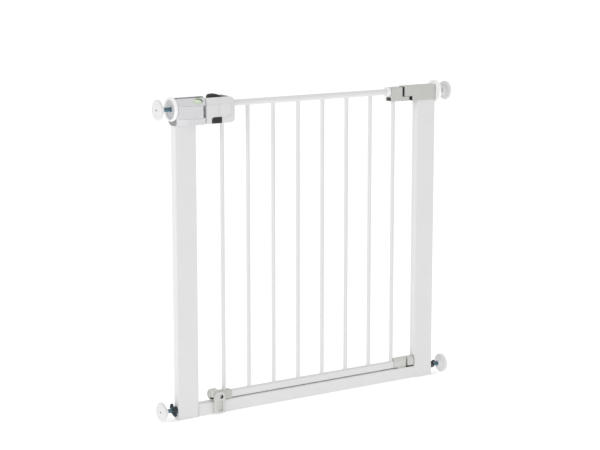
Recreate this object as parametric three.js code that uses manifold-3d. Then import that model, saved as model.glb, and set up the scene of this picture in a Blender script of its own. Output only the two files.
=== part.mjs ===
// Pressure-fit stair gate with a two-action latch.
// Millimetres, +Z up, +X to the right along the gate, +Y away from the room side.
// Origin: on the floor, under the middle of the gate.
// The leaf hangs on two vertical pins near the right upright and opens towards -Y.

import * as THREE from 'three';
import { mergeVertices } from 'three/addons/utils/BufferGeometryUtils.js';
import Module from 'manifold-3d';

const wasm = await Module();
wasm.setup();

// ---------------------------------------------------------------- dimensions
const GAP = 0.3;                 // clearance between separate pieces

const FRAME_W = 700;             // outside width over the two uprights
const UPRIGHT_W = 52;            // upright tube, across the gate
const UPRIGHT_D = 20;            // upright tube, front to back
const UPRIGHT_R = 2.5;             // its corner radius
const TUBE_WALL = 1.5;
const RAIL_H = 29;               // floor rail height
const LEFT_UPRIGHT_TOP = 670;
const RIGHT_UPRIGHT_TOP = 675;

const BAR_D = 9;                 // leaf bars
const BAR_WALL = 1.2;
const BAR_COUNT = 8;
const BAR_FIRST_X = -228;
const BAR_PITCH = 66.15;

const TOP_RAIL_D = 13.5;
const TOP_RAIL_Z = 690;
const TOP_RAIL_X0 = -236;
const TOP_RAIL_X1 = 241;

const LEAF_RAIL_Z0 = 31;         // leaf bottom rail
const LEAF_RAIL_Z1 = 46.5;
const LEAF_RAIL_D = 14;
const LEAF_RAIL_X0 = -247.5;
const LEAF_RAIL_X1 = 239.5;

const HINGE_X = 267;             // vertical hinge axis of the leaf
const KNUCKLE_R = 12.3;
const PIN_D = 6;

const HOUSING_X0 = -350;         // latch housing on the left upright
const HOUSING_X1 = -285;
const HOUSING_BOX_X = -322;        // from here to the mouth the housing is a plain box
const HOUSING_Z0 = 650;
const HOUSING_Z1 = 709;
const HOUSING_HALF = 28;
const SHELL = 2.5;

const HANDLE_X0 = -281.5;        // handle on the free end of the leaf
const HANDLE_X1 = -208.8;
const HANDLE_Z0 = 650.8;
const HANDLE_Z1 = 707.4;
const HANDLE_HALF = 27;

const SPINDLE_D = 9.6;             // four adjusting spindles
const TOP_SPINDLE_Z = 685;
const FOOT_SPINDLE_Z = 22;
const PAD_D = 44;
const PAD_T = 15.5;                // with its hub
const PAD_REACH = 390;           // wall face of a pad, from the middle of the gate
const WHEEL_D = 52;
const WHEEL_T = 7.3;

// ---------------------------------------------------------------- materials
const mat = (hex, roughness, metalness) =>
  new THREE.MeshStandardMaterial({ color: hex, roughness, metalness });
const WHITE_PAINT = mat(0xf1f1f0, 0.42, 0.0);
const WHITE_PLASTIC = mat(0xf2f2f3, 0.38, 0.0);
const SILVER = mat(0xc9c9cd, 0.4, 0.15);
const LIGHT_SILVER = mat(0xd6d6d9, 0.38, 0.12);
const MID_GREY = mat(0x6f7073, 0.55, 0.0);
const WARM_GREY = mat(0xb9bab3, 0.5, 0.0);
const CHARCOAL = mat(0x2b2b2d, 0.5, 0.0);
const STEEL = mat(0x6d7f8c, 0.32, 0.9);
const PAD_WHITE = mat(0xe6e6e8, 0.6, 0.0);
const GREEN = mat(0x2f5a2a, 0.5, 0.0);
const WINDOW = mat(0xc6e6ae, 0.15, 0.0);

// ---------------------------------------------------------------- helpers
function solid(geometry) {
  let g = geometry.clone();
  g.deleteAttribute('normal');
  if (g.attributes.uv) g.deleteAttribute('uv');
  g = mergeVertices(g, 1e-4);
  const index = g.index.array;
  const tri = [];
  for (let i = 0; i < index.length; i += 3) {
    const [a, b, c] = [index[i], index[i + 1], index[i + 2]];
    if (a !== b && b !== c && a !== c) tri.push(a, b, c);
  }
  return new wasm.Manifold(new wasm.Mesh({
    numProp: 3,
    vertProperties: Float32Array.from(g.attributes.position.array),
    triVerts: Uint32Array.from(tri),
  }));
}

function geometryOf(manifold) {
  const m = manifold.getMesh();
  const g = new THREE.BufferGeometry();
  g.setAttribute('position', new THREE.BufferAttribute(Float32Array.from(m.vertProperties), 3));
  g.setIndex(new THREE.BufferAttribute(Uint32Array.from(m.triVerts), 1));
  g.computeVertexNormals();
  return g;
}

const add = (first, ...rest) => rest.reduce((a, b) => a.add(b), first);
const cut = (first, ...rest) => rest.reduce((a, b) => a.subtract(b), first);

// Box between two corners.
function block(x0, x1, y0, y1, z0, z1) {
  return solid(new THREE.BoxGeometry(x1 - x0, y1 - y0, z1 - z0)
    .translate((x0 + x1) / 2, (y0 + y1) / 2, (z0 + z1) / 2));
}

// Round bar along X, Y or Z between two stations a and b; c1 and c2 are the other two coordinates.
function rod(axis, r, a, b, c1, c2, segments = 24) {
  const g = new THREE.CylinderGeometry(r, r, b - a, segments);
  const mid = (a + b) / 2;
  if (axis === 'x') g.rotateZ(Math.PI / 2).translate(mid, c1, c2);
  else if (axis === 'y') g.translate(c1, mid, c2);
  else g.rotateX(Math.PI / 2).translate(c1, c2, mid);
  return solid(g);
}

// Turned piece about an axis: points are [radius, station].
function turned(axis, points, c1, c2, segments = 28) {
  const g = new THREE.LatheGeometry(points.map((p) => new THREE.Vector2(p[0], p[1])), segments);
  if (axis === 'x') g.rotateZ(-Math.PI / 2).translate(0, c1, c2);
  else if (axis === 'y') g.translate(c1, 0, c2);
  else g.rotateX(Math.PI / 2).translate(c1, c2, 0);
  return solid(g);
}

// Polygon with rounded corners: points are [u, v, radius].
function roundedShape(points, steps = 3) {
  const s = new THREE.Shape();
  const n = points.length;
  for (let i = 0; i < n; i++) {
    const p = new THREE.Vector2(points[i][0], points[i][1]);
    const r = points[i][2] || 0;
    if (r <= 0) {
      i === 0 ? s.moveTo(p.x, p.y) : s.lineTo(p.x, p.y);
      continue;
    }
    const prev = new THREE.Vector2(points[(i + n - 1) % n][0], points[(i + n - 1) % n][1]);
    const next = new THREE.Vector2(points[(i + 1) % n][0], points[(i + 1) % n][1]);
    const u = prev.clone().sub(p).normalize();
    const v = next.clone().sub(p).normalize();
    const half = Math.acos(THREE.MathUtils.clamp(u.dot(v), -1, 1)) / 2;
    const reach = r / Math.tan(half);
    const centre = p.clone().add(u.clone().add(v).normalize().multiplyScalar(r / Math.sin(half)));
    const start = p.clone().add(u.clone().multiplyScalar(reach));
    const end = p.clone().add(v.clone().multiplyScalar(reach));
    const a0 = Math.atan2(start.y - centre.y, start.x - centre.x);
    let sweep = Math.atan2(end.y - centre.y, end.x - centre.x) - a0;
    while (sweep > Math.PI) sweep -= 2 * Math.PI;
    while (sweep < -Math.PI) sweep += 2 * Math.PI;
    for (let k = 0; k <= steps; k++) {
      const a = a0 + (sweep * k) / steps;
      const q = [centre.x + r * Math.cos(a), centre.y + r * Math.sin(a)];
      i === 0 && k === 0 ? s.moveTo(...q) : s.lineTo(...q);
    }
  }
  s.closePath();
  return s;
}

// Extrusions of a shape along Z (drawn in X,Y), along X (drawn in Y,Z) and along Y (drawn in X,Z).
function alongZ(shape, z0, z1) {
  return solid(new THREE.ExtrudeGeometry(shape, { depth: z1 - z0, bevelEnabled: false }).translate(0, 0, z0));
}
function alongX(shape, x0, x1) {
  const g = new THREE.ExtrudeGeometry(shape, { depth: x1 - x0, bevelEnabled: false });
  g.applyMatrix4(new THREE.Matrix4().set(0, 0, 1, x0, 1, 0, 0, 0, 0, 1, 0, 0, 0, 0, 0, 1));
  return solid(g);
}
function alongY(shape, y0, y1) {
  const g = new THREE.ExtrudeGeometry(shape, { depth: y1 - y0, bevelEnabled: false });
  g.applyMatrix4(new THREE.Matrix4().set(1, 0, 0, 0, 0, 0, -1, y1, 0, 1, 0, 0, 0, 0, 0, 1));
  return solid(g);
}
const rect = (a0, a1, b0, b1, r, steps) =>
  roundedShape([[a0, b0, r], [a1, b0, r], [a1, b1, r], [a0, b1, r]], steps);

const group = new THREE.Group();
const frame = new THREE.Group();
const leaf = new THREE.Group();
group.add(frame, leaf);

function piece(parent, name, body, material, position = [0, 0, 0], rotationZ = 0) {
  const mesh = new THREE.Mesh(geometryOf(body), material);
  mesh.name = name;
  mesh.position.set(...position);
  mesh.rotation.z = rotationZ;
  parent.add(mesh);
  return mesh;
}

// ---------------------------------------------------------------- frame tubes
const HALF = FRAME_W / 2;
const upright = (top) => {
  const outer = alongZ(rect(-UPRIGHT_W / 2, UPRIGHT_W / 2, -UPRIGHT_D / 2, UPRIGHT_D / 2, UPRIGHT_R), 0, top);
  const inner = alongZ(rect(-UPRIGHT_W / 2 + TUBE_WALL, UPRIGHT_W / 2 - TUBE_WALL,
    -UPRIGHT_D / 2 + TUBE_WALL, UPRIGHT_D / 2 - TUBE_WALL, UPRIGHT_R - TUBE_WALL), -1, top + 1);
  return cut(outer, inner);
};
// Each upright has a spindle hole low in its outer side and is notched where the housing wraps it.
piece(frame, 'left_upright', cut(upright(LEFT_UPRIGHT_TOP),
  rod('x', 5.4, -30, -20, 0, FOOT_SPINDLE_Z),
  block(-30, -22.2, -15, 15, HOUSING_Z0 - GAP, LEFT_UPRIGHT_TOP + 2)),
  WHITE_PAINT, [-HALF + UPRIGHT_W / 2, 0, 0]);
piece(frame, 'right_upright', cut(upright(RIGHT_UPRIGHT_TOP),
  rod('x', 5.4, 20, 30, 0, FOOT_SPINDLE_Z),
  block(22.2, 30, -15, 15, 667 - GAP, RIGHT_UPRIGHT_TOP + 2)),
  WHITE_PAINT, [HALF - UPRIGHT_W / 2, 0, 0]);

const RAIL_X = HALF - UPRIGHT_W - GAP;
piece(frame, 'floor_rail', cut(
  alongX(rect(-UPRIGHT_D / 2, UPRIGHT_D / 2, 0, RAIL_H, 2.5), -RAIL_X, RAIL_X),
  alongX(rect(-UPRIGHT_D / 2 + TUBE_WALL, UPRIGHT_D / 2 - TUBE_WALL, TUBE_WALL, RAIL_H - TUBE_WALL, 1), -RAIL_X - 1, RAIL_X + 1),
  rod('z', 4.4, RAIL_H - 4, RAIL_H + 2, HINGE_X, 0, 20)),
  WHITE_PAINT);

const footPlug = () => cut(
  alongZ(rect(-24.2, 24.2, -8.2, 8.2, 2), 0, 10),
  alongZ(rect(-21.5, 21.5, -5.5, 5.5, 1), 2.5, 12));
piece(frame, 'left_foot_plug', footPlug(), CHARCOAL, [-HALF + UPRIGHT_W / 2, 0, 0]);
piece(frame, 'right_foot_plug', footPlug(), CHARCOAL, [HALF - UPRIGHT_W / 2, 0, 0]);

// Guides inside the feet of the uprights: the bottom spindles slide in them.
const footGuide = () => cut(alongZ(rect(-48.1, -26, -8.2, 8.2, 2.6), 13, 31), rod('x', SPINDLE_D / 2 + GAP, -50, -20, 0, FOOT_SPINDLE_Z));
piece(frame, 'left_foot_guide', footGuide(), WARM_GREY, [-HALF + 49.9, 0, 0]);
piece(frame, 'right_foot_guide', footGuide(), WARM_GREY, [HALF - 49.9, 0, 0], Math.PI);

// ---------------------------------------------------------------- latch housing
// Faceted at the wall end, where it follows the hand wheel, and a box at the mouth, where it meets the handle.
const housingEnd = (i) => roundedShape([
  [-26.6 + i, 665.5 + i * 0.4, 3], [-12 + i * 0.4, HOUSING_Z0 + i, 3],
  [12 - i * 0.4, HOUSING_Z0 + i, 3], [26.6 - i, 665.5 + i * 0.4, 3],
  [26.6 - i, 692 - i * 0.4, 3], [8 - i * 0.4, HOUSING_Z1 - 1.5 - i, 4],
  [-12 + i * 0.4, HOUSING_Z1 - 1 - i, 3], [-26.6 + i, 693 - i * 0.4, 3]], 3);
const housingBox = (i) => roundedShape([
  [-HOUSING_HALF + i, 664, 3], [-26.5 + i, HOUSING_Z0 + i, 2.5],
  [26.5 - i, HOUSING_Z0 + i, 2.5], [HOUSING_HALF - i, 664, 3],
  [HOUSING_HALF - i, 689 - i * 0.5, 4], [14 - i * 0.5, 701.5 - i, 6],
  [-24 + i, HOUSING_Z1 - i, 1.5], [-HOUSING_HALF + i, 692, 2]], 3);
const housingSolid = (i, x0, x1) => add(
  wasm.Manifold.hull([alongX(housingEnd(i), x0, x0 + 0.02), alongX(housingBox(i), HOUSING_BOX_X, HOUSING_BOX_X + 0.02)]),
  alongX(housingBox(i), HOUSING_BOX_X, x1));
const PARTING_Y = -4;
const housingFull = cut(
  housingSolid(0, HOUSING_X0, HOUSING_X1),
  housingSolid(SHELL, HOUSING_X0 + SHELL, HOUSING_X1 - SHELL),
  block(-346.5, -297.7, -10.3, 10.3, HOUSING_Z0 - 5, HOUSING_Z0 + 4),           // around the upright
  rod('x', 8.6, HOUSING_X0 - 2, HOUSING_X0 + 6, 0, TOP_SPINDLE_Z),              // wheel hub
  block(-290, -280, -40, 9.4, 664.5, 691.5));                                  // latch mouth, open to -Y
// The display window sits on the upper facet of the front shell.
const WIN = new THREE.Vector3(-301.8, -25.74, 701.6);
const WIN_NORMAL = new THREE.Vector3(0, -17, 4).normalize();
function onSlope(shape, depth, lift) {
  const g = new THREE.ExtrudeGeometry(shape, { depth, bevelEnabled: false, curveSegments: 10 });
  g.translate(0, 0, -depth + lift);
  g.applyQuaternion(new THREE.Quaternion().setFromUnitVectors(new THREE.Vector3(0, 0, 1), WIN_NORMAL));
  return solid(g.translate(WIN.x, WIN.y, WIN.z));
}
const ellipse = (a, b) => {
  const s = new THREE.Shape();
  for (let i = 0; i < 20; i++) {
    const t = (i / 20) * 2 * Math.PI;
    i === 0 ? s.moveTo(a, 0) : s.lineTo(a * Math.cos(t), b * Math.sin(t));
  }
  s.closePath();
  return s;
};
const frontHalf = block(HOUSING_X0 - 5, HOUSING_X1 + 5, -40, PARTING_Y - GAP / 2, HOUSING_Z0 - 5, HOUSING_Z1 + 5);
const rearHalf = block(HOUSING_X0 - 5, HOUSING_X1 + 5, PARTING_Y + GAP / 2, 40, HOUSING_Z0 - 5, HOUSING_Z1 + 5);
piece(frame, 'latch_housing_front', cut(housingFull.intersect(frontHalf), onSlope(ellipse(12.9, 6), 12, 4)), SILVER);
const housingScrewHoles = [[-340, 660], [-306, 684]];
piece(frame, 'latch_housing_rear', cut(housingFull.intersect(rearHalf),
  ...housingScrewHoles.map(([x, z]) => rod('y', 2.4, 10, 40, x, z, 16))), MID_GREY);
piece(frame, 'pressure_window', onSlope(ellipse(12.6, 5.7), 1.8, 0), WINDOW);
// Keeper: steel back wall of the mouth with a striker that stops the bolt going through to +Y.
piece(frame, 'latch_keeper', add(
  block(-292.4, -290.3, -18, 9.1, 661, 694.5),
  block(-290.4, -284.4, 6.4, 9.1, 664.9, 691.1)), CHARCOAL);
// Guide that stops the top-left spindle from turning with its wheel.
const topGuide = () => cut(block(-7, 7, -9, 9, -7.8, 9), rod('x', SPINDLE_D / 2 + GAP, -10, 10, 0, 0));
piece(frame, 'left_spindle_guide', topGuide(), WARM_GREY, [-322, 0, TOP_SPINDLE_Z]);
piece(frame, 'housing_screw_lower', turned('y', [[0, 12], [2.0, 12], [2.0, 21.6], [0, 21.6]], 0, 0, 12), STEEL, [-340, 0, 660]);
piece(frame, 'housing_screw_upper', turned('y', [[0, 12], [2.0, 12], [2.0, 26.8], [0, 26.8]], 0, 0, 12), STEEL, [-306, 0, 684]);

// Pressure flag: a green strip behind the window that slides along X under the sloped face.
piece(frame, 'pressure_flag', onSlope((() => {
  const s = new THREE.Shape();
  s.moveTo(-12.5, -5.2); s.lineTo(10.8, -5.2); s.lineTo(10.8, 4.4); s.lineTo(-12.5, 4.4); s.closePath();
  return s;
})(), 1.2, -3.4), GREEN);

// ---------------------------------------------------------------- upper hinge
const kneePlan = (xRight, r) => {
  const s = new THREE.Shape();
  s.moveTo(HINGE_X, -KNUCKLE_R);
  s.lineTo(xRight - r, -KNUCKLE_R);
  for (let k = 1; k <= 3; k++) s.lineTo(xRight - r + r * Math.sin((k * Math.PI) / 6), -KNUCKLE_R + r - r * Math.cos((k * Math.PI) / 6));
  for (let k = 0; k <= 3; k++) s.lineTo(xRight - r + r * Math.cos((k * Math.PI) / 6), KNUCKLE_R - r + r * Math.sin((k * Math.PI) / 6));
  s.lineTo(HINGE_X, KNUCKLE_R);
  for (let k = 1; k < 12; k++) s.lineTo(HINGE_X - KNUCKLE_R * Math.sin((k * Math.PI) / 12), KNUCKLE_R * Math.cos((k * Math.PI) / 12));
  s.closePath();
  return s;
};
const hingeHousing = cut(
  alongZ(kneePlan(HALF, 3), 667, 701.5),
  block(250, 282, -20, 20, 660, 678),
  block(285, 347.3, -10.3, 25, 660, 699),
  rod('z', PIN_D / 2 + GAP, 670, 699.6, HINGE_X, 0, 20),
  rod('x', 8.6, 345, 355, 0, TOP_SPINDLE_Z));
piece(frame, 'hinge_housing', hingeHousing, WARM_GREY);
piece(frame, 'hinge_housing_cover', cut(
  block(285.3, 347, 10.35, KNUCKLE_R, 667.2, 698.7),
  rod('y', 2.3, 5, 20, 291, 695, 14)), WARM_GREY);
piece(frame, 'hinge_cover_screw', turned('y', [[0, 2], [1.9, 2], [1.9, 12], [0, 12]], 0, 0, 12), STEEL, [291, 0, 695]);
piece(frame, 'upper_hinge_pin', rod('z', PIN_D / 2, 668.4, 699.2, HINGE_X, 0, 20), STEEL);
piece(frame, 'right_spindle_guide', topGuide(), WARM_GREY, [318, 0, TOP_SPINDLE_Z], Math.PI);

// ---------------------------------------------------------------- lower hinge, frame side
const lowerHingeSection = roundedShape([[-11, 32, 3], [11, 32, 3], [11, 53.5, 8.5], [-11, 53.5, 8.5]], 4);
piece(frame, 'lower_hinge_bracket', cut(
  add(
    alongZ(rect(250, RAIL_X - 0.2, -9.7, 9.7, 3), RAIL_H + GAP, RAIL_H + 2.4),
    cut(alongX(lowerHingeSection, 272, RAIL_X - 0.2), rod('z', 12.2, 31.5, 60, HINGE_X, 0, 40), block(HINGE_X, HINGE_X + 11.8, -14, 0.4, 31.5, 60)),
    block(281, RAIL_X - 0.2, -9.5, 9.5, RAIL_H + 1, 36)),
  rod('z', 4.4, RAIL_H - 1, RAIL_H + 4, HINGE_X, 0, 20)), WARM_GREY);
piece(frame, 'lower_hinge_pin', rod('z', 4, RAIL_H - 3, 47, HINGE_X, 0, 20), STEEL);

// ---------------------------------------------------------------- leaf tubes
piece(leaf, 'leaf_top_rail', cut(
  rod('x', TOP_RAIL_D / 2, TOP_RAIL_X0, TOP_RAIL_X1, 0, 0, 28),
  rod('x', TOP_RAIL_D / 2 - BAR_WALL, TOP_RAIL_X0 - 1, TOP_RAIL_X1 + 1, 0, 0, 20)),
  WHITE_PAINT, [0, 0, TOP_RAIL_Z]);
piece(leaf, 'leaf_bottom_rail', cut(
  alongX(rect(-LEAF_RAIL_D / 2, LEAF_RAIL_D / 2, LEAF_RAIL_Z0, LEAF_RAIL_Z1, 2), LEAF_RAIL_X0, LEAF_RAIL_X1),
  alongX(rect(-LEAF_RAIL_D / 2 + TUBE_WALL, LEAF_RAIL_D / 2 - TUBE_WALL, LEAF_RAIL_Z0 + TUBE_WALL, LEAF_RAIL_Z1 - TUBE_WALL, 0.8),
    LEAF_RAIL_X0 - 1, LEAF_RAIL_X1 + 1)),
  WHITE_PAINT);
for (let i = 0; i < BAR_COUNT; i++) {
  const z0 = LEAF_RAIL_Z1 + GAP;
  const z1 = TOP_RAIL_Z - TOP_RAIL_D / 2 + 1.2;
  const bar = cut(
    rod('z', BAR_D / 2, z0, z1, 0, 0, 18),
    rod('z', BAR_D / 2 - BAR_WALL, z0 - 1, z1 + 1, 0, 0, 12),
    rod('x', TOP_RAIL_D / 2 + GAP, -8, 8, 0, TOP_RAIL_Z, 28));
  piece(leaf, `bar_${i + 1}`, bar, WHITE_PAINT, [BAR_FIRST_X + i * BAR_PITCH, 0, 0]);
}

// ---------------------------------------------------------------- leaf side of the hinges
const BAR_8_X = BAR_FIRST_X + (BAR_COUNT - 1) * BAR_PITCH;
const tongue = () => {
  const s = new THREE.Shape();
  s.moveTo(250, -KNUCKLE_R);
  s.lineTo(HINGE_X, -KNUCKLE_R);
  for (let k = 1; k < 12; k++) s.lineTo(HINGE_X + KNUCKLE_R * Math.sin((k * Math.PI) / 12), -KNUCKLE_R * Math.cos((k * Math.PI) / 12));
  s.lineTo(HINGE_X, KNUCKLE_R);
  s.lineTo(250, KNUCKLE_R);
  s.closePath();
  return s;
};
piece(leaf, 'upper_hinge_arm', cut(
  add(alongX(rect(-KNUCKLE_R, KNUCKLE_R, 668, 700, 2.5), 222.5, 252.6), alongZ(tongue(), 668, 677.4)),
  rod('x', TOP_RAIL_D / 2 + GAP, 210, TOP_RAIL_X1 + 0.4, 0, TOP_RAIL_Z, 28),
  rod('z', BAR_D / 2 + GAP, 660, 685, BAR_8_X, 0, 20),
  block(220, 228.6, -8.5, 8.5, 660, 677),
  rod('z', PIN_D / 2 + GAP, 660, 690, HINGE_X, 0, 20)), WARM_GREY);
piece(leaf, 'rail_collar', cut(
  turned('x', [[0, -5], [10.2, -5], [11.4, -3.8], [11.4, 3.2], [10.6, 4], [0, 4]], 0, 0, 24),
  rod('x', TOP_RAIL_D / 2 + GAP, -10, 10, 0, 0, 28)), WHITE_PLASTIC, [218, 0, TOP_RAIL_Z]);

const lowerArmPlan = () => {
  const s = new THREE.Shape();
  const r = 11;
  s.moveTo(240, -r + 2);
  s.lineTo(242, -r);
  s.lineTo(HINGE_X, -r);
  for (let k = 1; k < 12; k++) s.lineTo(HINGE_X + r * Math.sin((k * Math.PI) / 12), -r * Math.cos((k * Math.PI) / 12));
  s.lineTo(HINGE_X, r);
  s.lineTo(242, r);
  s.lineTo(240, r - 2);
  s.closePath();
  return s;
};
piece(leaf, 'lower_hinge_arm', cut(
  add(alongZ(lowerArmPlan(), 30, 60).intersect(alongX(lowerHingeSection, 238, 280)), block(226, 241, -5.1, 5.1, 33, 44.5)),
  rod('z', 4 + GAP + 0.1, 30, 47.6, HINGE_X, 0, 20),
  rod('z', BAR_D / 2 + GAP, LEAF_RAIL_Z1 - 0.5, 60, BAR_8_X, 0, 20)), WARM_GREY);

// ---------------------------------------------------------------- bottom catch on the leaf
piece(leaf, 'rail_sleeve', cut(
  alongX(rect(-9.2, 9.2, 29.5, 49, 2.5), -247.6, -212),
  alongX(rect(-LEAF_RAIL_D / 2 - GAP, LEAF_RAIL_D / 2 + GAP, LEAF_RAIL_Z0 - GAP, LEAF_RAIL_Z1 + GAP, 2), -249, -210),
  rod('z', BAR_D / 2 + GAP, 40, 60, BAR_FIRST_X, 0, 20)), WARM_GREY);
piece(leaf, 'catch_barrel', cut(
  add(
    turned('x', [[0, -266], [9, -266], [11.6, -264], [12.4, -261], [12.4, -250], [11.6, -248.2], [0, -248.2]], 0, 43.6, 28),
    block(-249, -240, -5.1, 5.1, 33, 44.5)),
  turned('x', [[6.2, -280], [7.8, -280], [7.8, -265.2], [6.2, -265.2], [6.2, -280]], 0, 43.6, 24),
  block(-280, -256, -14, -3, 34.5, 39)), WARM_GREY);
piece(leaf, 'stop_leg', cut(
  add(
    alongY(roundedShape([[-262, 2.5, 2], [-235, 2.5, 2], [-235, 44, 5], [-241, 50, 4], [-256, 50, 7], [-262, 43, 5]]), -17.5, -12.8),
    block(-262, -235, -13, -10.5, 4, 28), block(-246.8, -236.4, -13, -9.5, 31.5, 47.5)),
  rod('y', 4.4, -20, -11.6, -244, 39, 20),
  block(-258, -246, -19, -15.8, 6, 30)), WARM_GREY);
piece(leaf, 'stop_leg_screw', turned('y', [[0, -15.2], [3.2, -15.2], [3.9, -14.4], [3.9, -11.9], [0, -11.9]], 0, 0, 18), STEEL, [-244, 0, 39]);

// ---------------------------------------------------------------- handle
const handleOutline = (inset) => roundedShape([
  [HANDLE_X0 + inset, HANDLE_Z0 + inset, 2.5], [HANDLE_X1 - inset, HANDLE_Z0 + inset, 13 - inset],
  [HANDLE_X1 - inset, HANDLE_Z1 - inset, 14 - inset], [HANDLE_X0 + inset, HANDLE_Z1 - inset, 2.5]], 5);
const handleProfile = (i) => roundedShape([
  [-HANDLE_HALF + i, HANDLE_Z0 + i, 2.5], [HANDLE_HALF - i, HANDLE_Z0 + i, 2.5], [HANDLE_HALF - i, 688 - i * 0.5, 4],
  [14 - i * 0.5, 700.3 - i, 6], [-24.5 + i, HANDLE_Z1 - i, 1.5], [-HANDLE_HALF + i, 692, 1.5]], 3);
const handlePlan = (inset) => roundedShape([
  [HANDLE_X0 + inset, -HANDLE_HALF + inset, 1.2], [HANDLE_X1 - inset, -HANDLE_HALF + inset, 5 - inset],
  [HANDLE_X1 - inset, HANDLE_HALF - inset, 5 - inset], [HANDLE_X0 + inset, HANDLE_HALF - inset, 1.2]], 5);
const handleBody = (inset) => alongY(handleOutline(inset), -40, 40)
  .intersect(alongX(handleProfile(inset), -300, -200))
  .intersect(alongZ(handlePlan(inset), 600, 750));
// Low crest behind the thumb slider, part of the shells.
const crest = cut(
  alongY(roundedShape([[-229, 700.6, 0], [-212.6, 698.6, 0], [-213, 704.4, 2.5], [-219, 707.6, 4], [-225.5, 708.6, 2], [-229, 707.6, 1.5]]), -9, 12),
  block(-232, -224.3, -20, 7.8, 690, 720));
const handleFull = cut(add(handleBody(0), crest), handleBody(SHELL),
  rod('x', TOP_RAIL_D / 2 + GAP, -225, -200, 0, TOP_RAIL_Z, 28),        // top rail
  rod('z', BAR_D / 2 + GAP, 640, 660, BAR_FIRST_X, 0, 20),               // first bar
  block(-290, -275, -5.3, 5.3, 665.8, 690.2),                            // bolt
  block(-263, -235, -4.5, 4.5, 695, 712),                                // thumb slider
  block(-267.3, -243.7, -40, -7, 640, 664.3));                          // squeeze button
piece(leaf, 'handle_front', handleFull.intersect(block(-300, -200, -40, -GAP / 2, 640, 720)), LIGHT_SILVER);
piece(leaf, 'handle_rear', cut(handleFull.intersect(block(-300, -200, GAP / 2, 40, 640, 720)),
  rod('y', 2.4, 15, 40, -220, 662, 14).add(rod('y', 2.4, 15, 40, -272, 662, 14))), LIGHT_SILVER);
piece(leaf, 'handle_screw_left', turned('y', [[0, 12], [2.0, 12], [2.0, 25.5], [0, 25.5]], 0, 0, 12), STEEL, [-272, 0, 662]);
piece(leaf, 'handle_screw_right', turned('y', [[0, 12], [2.0, 12], [2.0, 25.5], [0, 25.5]], 0, 0, 12), STEEL, [-220, 0, 662]);
// Latch: thumb slider and bolt move together along +X.
piece(leaf, 'thumb_slider', add(
  alongY(roundedShape([[-264.8, 705, 1.2], [-231, 705, 0.4], [-231.5, 706.6, 0.8], [-241, 711.4, 6], [-251, 713.3, 8], [-263.6, 711.6, 3]], 4), -7.2, 7.2),
  block(-258, -243, -3.8, 3.8, 689.4, 708.5)), CHARCOAL);
piece(leaf, 'latch_bolt', cut(
  alongY(roundedShape([[-289.6, 666.8, 2], [-247, 666.8, 0], [-247, 689, 0], [-289.6, 689, 2]]), -4.9, 4.9),
  block(-262, -255, -6, 6, 660, 668.6)), CHARCOAL);
piece(leaf, 'squeeze_button', alongY(roundedShape([
  [-267, 651.2, 0], [-244, 651.2, 0], [-244, 664, 1], [-267, 664, 5]], 4), -28, -11), CHARCOAL);

// Coil springs, modelled as one closed wire each.
function coil(axis, turns, radius, wire, length, start) {
  const pts = [];
  const n = turns * 10;
  for (let i = 0; i <= n; i++) {
    const a = (i / 10) * 2 * Math.PI;
    const s = (i / n) * length;
    if (axis === 'x') pts.push(new THREE.Vector3(start[0] + s, start[1] + radius * Math.cos(a), start[2] + radius * Math.sin(a)));
    else pts.push(new THREE.Vector3(start[0] + radius * Math.cos(a), start[1] + s, start[2] + radius * Math.sin(a)));
  }
  const section = new THREE.Shape();
  for (let i = 0; i < 6; i++) {
    const t = (i / 6) * 2 * Math.PI;
    i === 0 ? section.moveTo(wire, 0) : section.lineTo(wire * Math.cos(t), wire * Math.sin(t));
  }
  section.closePath();
  return solid(new THREE.ExtrudeGeometry(section, { steps: n, bevelEnabled: false, extrudePath: new THREE.CatmullRomCurve3(pts) }));
}
piece(leaf, 'bolt_spring', coil('x', 4, 3.2, 0.5, 8.4, [-246, 0, 674]), STEEL);
piece(leaf, 'button_spring', coil('y', 4, 3.2, 0.5, 9.6, [-255.5, -10.4, 659.4]), STEEL);

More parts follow.
